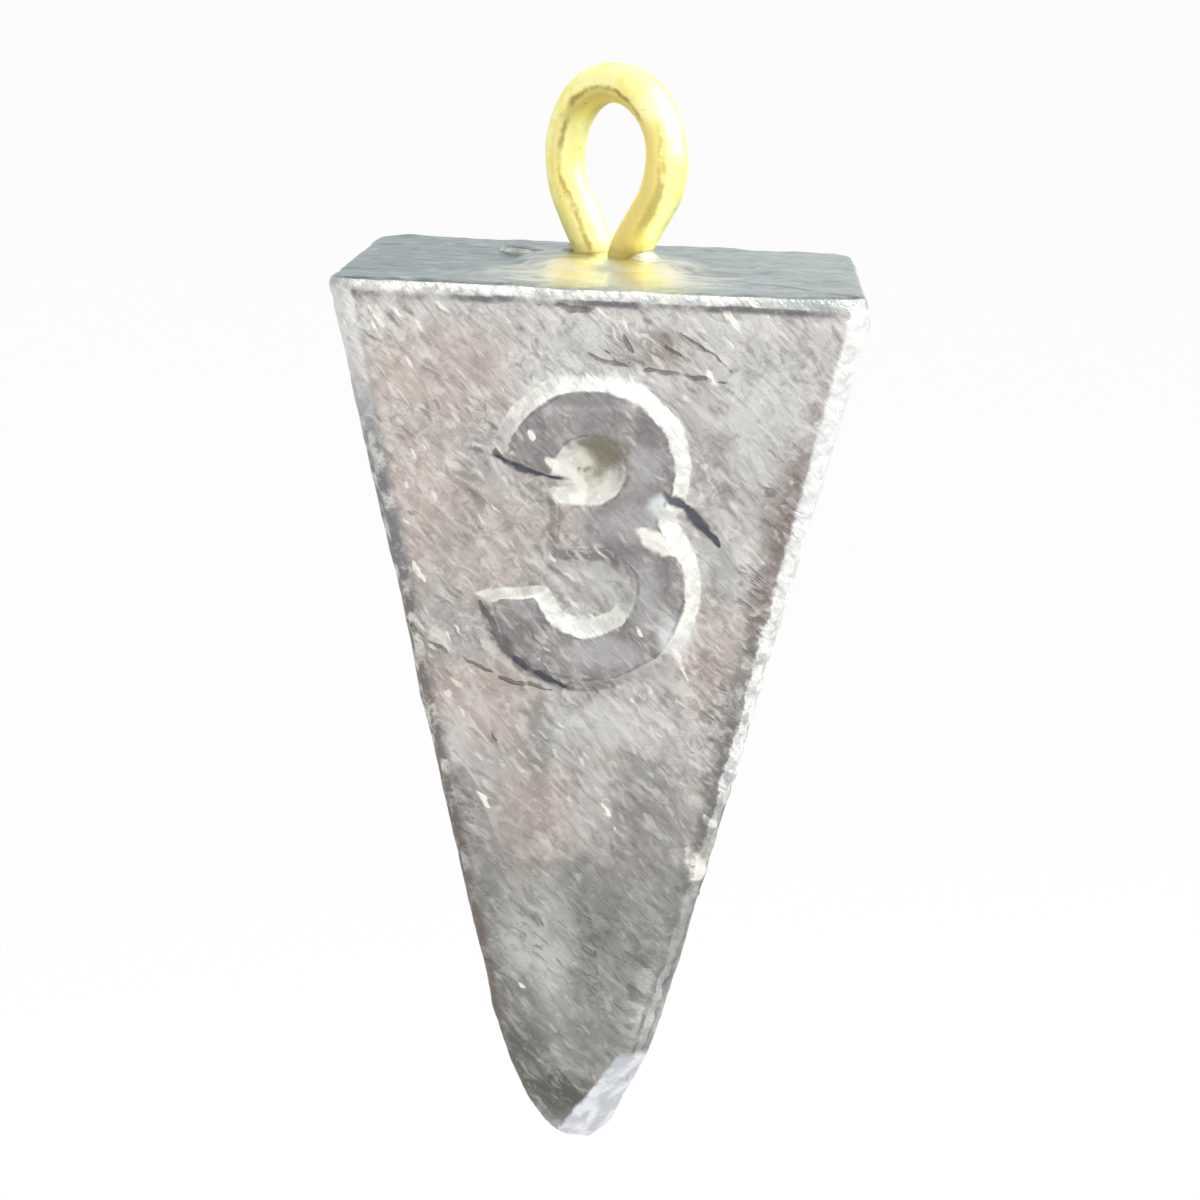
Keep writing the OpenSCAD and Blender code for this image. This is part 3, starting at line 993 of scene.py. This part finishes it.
    def marks(self):
        """The marks at known places of the front face, among them painted shade and painted highlights, and
        the numeral's walls that face the light, painted bright: a painted highlight.
        """
        n = self.n
        specks = n.times(self.patches(COUNTER_SPECKS),
                         n.step(n.noise(self.flat_front, 1.7, 4, 0.6), 0.46, 0.62))
        self.pits = n.times(self.patches(PITTED), n.step(self.wrinkle(36, 1.1, 0.45), 0.5, 0.66))
        self.cracks = self.scratches(CRACKS, 0.7)
        self.shaded_gouges = self.scratches(SHADED_GOUGES, 0.3)
        # Tone of the painted highlight on the walls that face the light
        wall_highlight_tone = n.mix(n.step(n.noise(self.flat_front, 1.6, 4, 0.6), 0.4, 0.6),
                       (208, 210, 204), (236, 235, 226))
        inner_line = n.times(
            self.near, n.step(self.facing, 0.998, 0.98), n.step(self.facing, 0.93, 0.97),
            n.step(self.fz, 0.3, 0.42), n.step(n.noise(self.flat_front, 1.6, 4, 0.65), 0.42, 0.6))
        self.lay(
            # Painted shade in the upper counter
            (self.patches(COUNTER_SHADE), (124, 118, 98)),
            (self.patches(NOTCH_PALE), (226, 231, 232)),
            (self.patches(NUMERAL_DARK), (100, 97, 98)),
            (self.patches(NUMERAL_PALE), (178, 177, 177)),
            (self.patches(COUNTER_CREAM), (226, 222, 206)),
            (specks, (142, 138, 118), 0.8),
            (self.pits, n.mix(self.low, (104, 96, 92), (96, 95, 91)), 0.65),
            (self.cracks, (92, 80, 76), 0.65),
            (self.lit_wall_highlight, wall_highlight_tone, 0.93),
            (inner_line, (100, 97, 96), 0.55),
            (self.scratches(DIM_SHADE, 0.6), (90, 86, 86), 0.8),
            # Dark navy in the gouge marks and under the numeral's lower left edges: painted shade
            (n.most(self.shaded_gouges, self.scratches(SHADE, 0.5)), (48, 50, 70), 0.9),
            # Bright cuts and painted highlights
            (self.scratches(GASHES_AND_HIGHLIGHTS, 0.6), (240, 237, 228), 0.9))

    def corners(self):
        """Ragged bright metal on the corners, dimmed on the front left corner, where a dark strip lies
        beside it: both are painted shade. A dark line runs beside the parting fin.
        """
        n = self.n
        squareness = n.math('DIVIDE', n.math('MINIMUM', self.wide, self.deep), n.most(self.wide, self.deep))
        raggedness = n.plus(0.03, n.times(n.step(self.drop, 7.0, 16.0), 0.1))
        ragged = n.plus(squareness, n.sway(self.sheet, 1.5, 5, 0.7, raggedness))
        front_left = n.times(n.step(self.y, 0.0, -1.0), n.step(self.x, 0.0, -1.0))
        by_the_fin = n.math('GREATER_THAN', n.times(self.x, self.y, -1.0), 0.0)
        fin_line = n.times(n.step(ragged, 0.74, 0.88), n.step(ragged, 0.925, 0.905), by_the_fin,
                        n.step(self.drop, 3.0, 8.0), n.step(n.noise(self.sheet, 1.2, 5, 0.7), 0.38, 0.58))
        self.corner = n.times(n.step(ragged, 0.905, 0.93), n.step(self.drop, 0.0, 0.3))
        # The front left corner's bright metal is dimmed: painted shade
        wear_and_shade = n.times(n.minus(0.92, n.times(front_left, 0.4)),
                       n.rest(n.times(n.step(self.ragged_drop, 23.0, 27.0), 0.8)))
        dull = n.mix(n.step(self.ragged_drop, 13.0, 19.0), (220, 224, 223), (190, 192, 190))
        worn_tone = n.mix(n.step(n.noise(self.sheet, 1.7, 4, 0.6), 0.35, 0.55), dull, (242, 242, 238))
        # A dark strip beside the front left corner, browner lower down: painted shade
        left_corner_shade = n.times(front_left, n.step(ragged, 0.87, 0.94), n.step(self.drop, 2.0, 8.0),
                       n.step(n.noise(self.sheet, 1.1, 5, 0.7), 0.36, 0.56))
        browner_low = n.step(n.plus(self.drop, n.times(self.mottle, 8.0)), 13.0, 20.0)
        self.lay(
            (fin_line, n.mix(n.step(self.drop, 9.0, 16.0), (126, 108, 102), (104, 104, 100)), 0.75),
            (n.times(self.corner, wear_and_shade), worn_tone),
            (left_corner_shade, n.mix(browner_low, (110, 114, 118), (112, 102, 96)), 0.9))

    def rolled_rim(self):
        """The rolled rim is bright, partly bright metal and partly a painted highlight, and the groove
        under it is painted dark in patches: a painted shade.
        """
        n = self.n
        wavy_drop = n.plus(self.drop, n.sway(self.sheet, 0.9, 4, 0.6, 0.3))
        self.rim = n.times(n.step(wavy_drop, 0.52, 0.38), n.step(self.nz, 0.985, 0.93))
        patchy = n.step(n.noise(self.sheet, 0.5, 4, 0.65), 0.4, 0.62)
        # The groove is painted dark: painted shade
        groove = n.times(n.step(wavy_drop, 0.45, 0.56), n.step(wavy_drop, 0.9, 0.66), n.rest(self.corner),
                         n.plus(0.15, n.times(patchy, 0.75)))
        # The rim's bright tone is partly a painted highlight, duller in patches and towards the right
        rim_tone = n.mix(n.step(n.noise(self.place, 1.5, 3, 0.6), 0.38, 0.6),
                         (178, 181, 178), (222, 221, 214))
        dull_rim = n.most(n.times(n.step(n.noise(self.place, 1.1, 5, 0.7), 0.5, 0.66), 0.7),
                          n.times(n.step(self.x, 4.5, 8.5), 0.6))
        self.lay(
            (groove, (98, 96, 102)),
            (self.rim, n.mix(dull_rim, rim_tone, (140, 150, 150)), 0.9))

    def top(self):
        """Bright metal on the top, with a dark seam along the parting plane, painted lighter towards the
        right where the light falls, with painted reflections of the brass and painted shade round the
        wire's feet.
        """
        n = self.n
        at_top = n.step(self.drop, 0.5, 0.3)
        self.on_top = n.times(at_top, n.step(self.nz, 0.75, 0.93))
        drawn_out = n.add('ShaderNodeMapping', {
            'Vector': self.place, 'Rotation': (0, 0, radians(20)), 'Scale': (0.7, 1.0, 1)}).outputs[0]
        self.top_noise = n.noise(drawn_out, 0.8, 6, 0.72, 0.3)
        # Painted lighter towards the right, the side the light falls from
        lighter_right = n.plus(n.times(self.x, 0.01), self.top_noise)
        off_axis = n.measure('LENGTH', n.from_parts(self.x, self.y))
        off_seam = n.math('ABSOLUTE', n.dot(self.place, tuple(ACROSS)))
        seam = n.times(n.step(n.plus(off_seam, n.sway(self.place, 1.4, 4, 0.6, 0.5)), 0.28, 0.1),
                       n.step(off_axis, 2.6, 3.6))
        tone = n.mix(n.step(lighter_right, 0.36, 0.66), (100, 122, 123), (156, 167, 166))
        tone = n.coats(
            tone,
            (n.step(n.noise(drawn_out, 2.2, 5, 0.7), 0.5, 0.66), (88, 102, 108), 0.55),
            (n.step(n.noise(drawn_out, 1.6, 5, 0.7, 1.0), 0.56, 0.7), (196, 202, 198), 0.7),
            (seam, (84, 96, 104), 0.7))
        # Before the wire's legs the top is painted bright and yellowish: a painted reflection of the brass
        for right, back, reach_right, reach_back, reflected_tone, strength in BRASS_REFLECTIONS:
            reflected = n.use(self.patch, {
                'Place': self.place, 'Middle': (right, back, TOP_Z / MM),
                'Reach': (reach_right, reach_back, 4.0), 'Fray': 1.3})
            tone = n.coats(tone, (reflected, reflected_tone, strength))
        # Darker and brownish round the wire's feet: painted shade
        feet_shade = n.times(n.step(off_axis, 3.4, 2.0), at_top,
                        n.step(n.noise(self.place, 1.5, 4, 0.65), 0.38, 0.56))
        self.lay((self.on_top, tone), (feet_shade, (160, 146, 100), 0.45))

    def nip(self):
        """The nipped flat is clean metal."""
        n = self.n
        nip_way = out_and_down(NIP_ANGLE)
        nip_reach = (NIP_OFFSET * cos(NIP_ANGLE) - (TOP_Z - BODY_H) * sin(NIP_ANGLE)) / MM
        frayed_reach = n.plus(n.dot(self.place, tuple(nip_way)), n.sway(self.place, 1.3, 4, 0.65, 0.4))
        self.nipped = n.times(
            n.step(n.dot(self.normal, tuple(nip_way)), 0.6, 0.74),
            n.step(frayed_reach, nip_reach - 0.4, nip_reach - 0.26), n.step(self.drop, 34.1, 34.6))
        tone = n.mix(n.step(n.noise(self.place, 1.1, 3, 0.6), 0.4, 0.6), (200, 205, 211), (236, 238, 241))
        self.lay((self.nipped, tone))

    def relief(self):
        """The fine relief of the skin, and how metallic and rough it is."""
        n = self.n
        flats = n.most(self.on_top, self.nipped)
        metal = n.most(flats, n.times(self.corner, 0.5), n.times(self.rim, 0.5))
        height = n.plus(self.brushed, n.times(self.finer, 0.5))
        height = n.plus(height, n.minus(n.times(self.speck, 0.15), n.times(self.grain, 0.5)))
        height = n.minus(height, n.times(n.most(self.cracks, self.shaded_gouges, n.times(self.pits, 0.5)), 0.9))
        ripples = n.plus(self.top_noise, n.times(n.noise(self.place, 2.2, 4, 0.6), 0.5))
        height = n.plus(height, n.times(self.on_top, ripples, 1.5))
        self.feed_shader(
            metallic=n.plus(0.2, n.times(metal, 0.75)),
            roughness=n.minus(0.58, n.times(metal, 0.26)),
            height=n.times(height, n.rest(n.times(flats, 0.7))),
            depth=0.15 * MM)


class BrassWithPaintedLight(Finish):
    """Pale yellow brass. A deeper yellow on the sides that face away from the light, as on the inner side
    of the right limb, is painted shade, the dull lines beside it are painted reflections, and the feet are
    painted darker: painted shade.
    """

    def __init__(self):
        super().__init__("brass_with_painted_light")
        n = self.n
        z = n.parts(self.place)[2]
        nx, ny, nz = n.parts(self.normal)
        loop_z = (TOP_Z + LOOP_H) / MM
        right_limb = n.step(n.dot(self.place, tuple(CORNER)), -0.4, 0.8)
        left_limb = n.rest(right_limb)
        crown = n.step(z, loop_z + 1.2, loop_z + 2.2)
        limbs = n.rest(crown)
        low_leg = n.step(z, loop_z - 2.4, loop_z - 3.6)
        waver = n.sway(self.place, 1.2, 4, 0.65, 0.5)
        sideways = n.plus(nx, waver)
        upwards = n.plus(nz, waver)

        def band(value, low, high, soft):
            return n.times(n.step(value, low - soft, low + soft), n.step(value, high + soft, high - soft))

        # Deeper yellow where the wire faces away from the light: painted shade
        amber_shade = n.most(n.times(right_limb, n.step(n.minus(sideways, n.times(low_leg, 0.6)), -0.2, -0.45)),
                       n.times(left_limb, band(sideways, -0.75, -0.25, 0.1), 0.5))
        amber_shade = n.most(n.times(amber_shade, limbs), n.times(crown, n.step(upwards, -0.1, -0.3)))
        broken = n.step(n.noise(self.place, 0.9, 3, 0.6), 0.38, 0.54)
        right_line = n.times(right_limb, band(sideways, -0.4, 0.0, 0.12), n.rest(low_leg),
                             n.plus(0.3, n.times(broken, 0.4)))
        left_line = n.times(left_limb, band(sideways, -0.38, -0.14, 0.1), n.plus(0.4, n.times(broken, 0.4)))
        crown_line = n.times(crown, band(upwards, -0.34, -0.12, 0.09), n.step(ny, -0.1, -0.3),
                             n.plus(0.4, n.times(broken, 0.5)))
        # Dull lines where the wire turns from the light: painted reflections
        lines = n.most(n.times(n.most(right_line, left_line), limbs, n.step(ny, 0.0, -0.2)), crown_line)
        frayed_z = n.plus(z, n.times(n.noise(self.place, 1.3, 4, 0.6), 1.2))
        # The feet, near the lead, are painted darker: painted shade
        foot = n.step(frayed_z, TOP_Z / MM + 1.7, TOP_Z / MM + 1.0)

        broad = n.noise(self.place, 0.6, 3, 0.5)
        fine = n.noise(self.place, 6, 3, 0.6)
        self.colour = n.mix(n.step(broad, 0.4, 0.65), (255, 252, 186), (254, 246, 162))
        self.lay(
            (n.step(n.noise(self.place, 1.7, 4, 0.65), 0.5, 0.64), (246, 230, 142), 0.5),
            (amber_shade, (242, 222, 136), 0.9),
            (lines, (176, 158, 84)),
            (foot, (176, 152, 80), 0.5),
            (n.step(n.noise(self.place, 3.5, 3, 0.6), 0.68, 0.74), (160, 130, 80), 0.35))
        skin = n.plus(n.times(broad, 1.4), n.times(fine, 0.1))
        self.feed_shader(
            metallic=0.8,
            roughness=n.plus(0.54, n.times(fine, 0.08)),
            height=n.minus(skin, n.times(lines, 0.5)),
            depth=0.03 * MM)


for piece, finish, node, slot in (
        (lead, CastLead(), "lead_body", "cast_lead"),
        (wire, BrassWithPaintedLight(), "wire_eye", "eye_wire")):
    piece.data.materials.clear()
    piece.data.materials.append(finish.material)
    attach(piece, "root")
    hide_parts(node)


# Floor, light and camera

FLOOR_W = 20
FLOOR_BACK = 8
FLOOR_Z = -75 * MM
FLOOR_PAPER = (0.9, 0.9, 0.9, 1)
FLOOR_GLOW = 0.95
SKY_LIGHT = 0.47
LAMP_AIM = Vector((0, 0, -22 * MM))
CAMERA_PLACE = (5.308 * MM, -165.745 * MM, 7.930 * MM)
CAMERA_TURN = radians(1.78997)
CAMERA_RISE = radians(10.09236)
CAMERA_ROLL = radians(2.36994)
CAMERA_SENSOR = 36
CAMERA_LENS = 115.565


def shown(n):
    """1 where a ray shows the white round the object, 0 where it lights the object."""
    path = n.add('ShaderNodeLightPath').outputs
    return n.most(path["Is Camera Ray"], path["Is Glossy Ray"], path["Is Transmission Ray"])


def pale_floor():
    """Pale paper. Where it shows it glows, all but a little that keeps the shadow."""
    material = bpy.data.materials.new("pale_floor")
    material.use_nodes = True
    n = Nodes(material.node_tree)
    n.tree.nodes.remove(n.tree.nodes["Principled BSDF"])
    paper = n.add('ShaderNodeBsdfDiffuse', {'Color': FLOOR_PAPER})
    glow = n.add('ShaderNodeEmission', {'Color': (1, 1, 1, 1), 'Strength': 1.0})
    surface = n.add('ShaderNodeMixShader', {
        0: n.times(shown(n), FLOOR_GLOW), 1: paper.outputs[0], 2: glow.outputs[0]})
    n.feed(n.tree.nodes["Material Output"].inputs["Surface"], surface.outputs[0])
    return material


def studio():
    """A world that shows white, and lights the object with a soft grey."""
    world = bpy.data.worlds.new("studio")
    world.use_nodes = True
    n = Nodes(world.node_tree)
    sky = world.node_tree.nodes["Background"].inputs
    grey = n.plus(SKY_LIGHT, n.times(shown(n), 1 - SKY_LIGHT))
    n.feed(sky["Color"], n.from_parts(grey, grey, grey))
    n.feed(sky["Strength"], 1.0)
    return world


def lamp(name, place, size, power):
    """A square soft box, aimed at the middle of the casting."""
    light = bpy.data.lights.new(name, 'AREA')
    light.size = size
    light.energy = power
    box = bpy.data.objects.new(name, light)
    bpy.context.scene.collection.objects.link(box)
    box.location = place
    box.rotation_euler = (LAMP_AIM - Vector(place)).to_track_quat('-Z', 'Y').to_euler()


def camera():
    """The camera as fitted to the body's edges in the photograph."""
    data = bpy.data.cameras.new("camera")
    data.sensor_width = CAMERA_SENSOR
    data.lens = CAMERA_LENS
    data.clip_start = 0.01
    data.clip_end = 10
    back = Vector((
        sin(CAMERA_TURN) * cos(CAMERA_RISE), -cos(CAMERA_TURN) * cos(CAMERA_RISE), sin(CAMERA_RISE)))
    level = Vector((cos(CAMERA_TURN), sin(CAMERA_TURN), 0))
    upright = back.cross(level)
    right = level * cos(CAMERA_ROLL) + upright * sin(CAMERA_ROLL)
    up = upright * cos(CAMERA_ROLL) - level * sin(CAMERA_ROLL)
    pose = Matrix((right, up, back)).transposed().to_4x4()
    pose.translation = CAMERA_PLACE
    piece = bpy.data.objects.new("camera", data)
    piece.matrix_world = pose
    bpy.context.scene.collection.objects.link(piece)
    return piece


bpy.ops.mesh.primitive_plane_add(size=FLOOR_W, location=(0, FLOOR_BACK, FLOOR_Z))
floor = new_piece("floor")
floor.data.materials.append(pale_floor())
lamp("key", (0.172, -0.072, 0.193), 0.12, 1.1)
lamp("front_fill", (-0.1, -0.3, 0.05), 0.25, 0.3)
scene = bpy.context.scene
scene.world = studio()
scene.camera = camera()
scene.view_settings.view_transform = 'Standard'
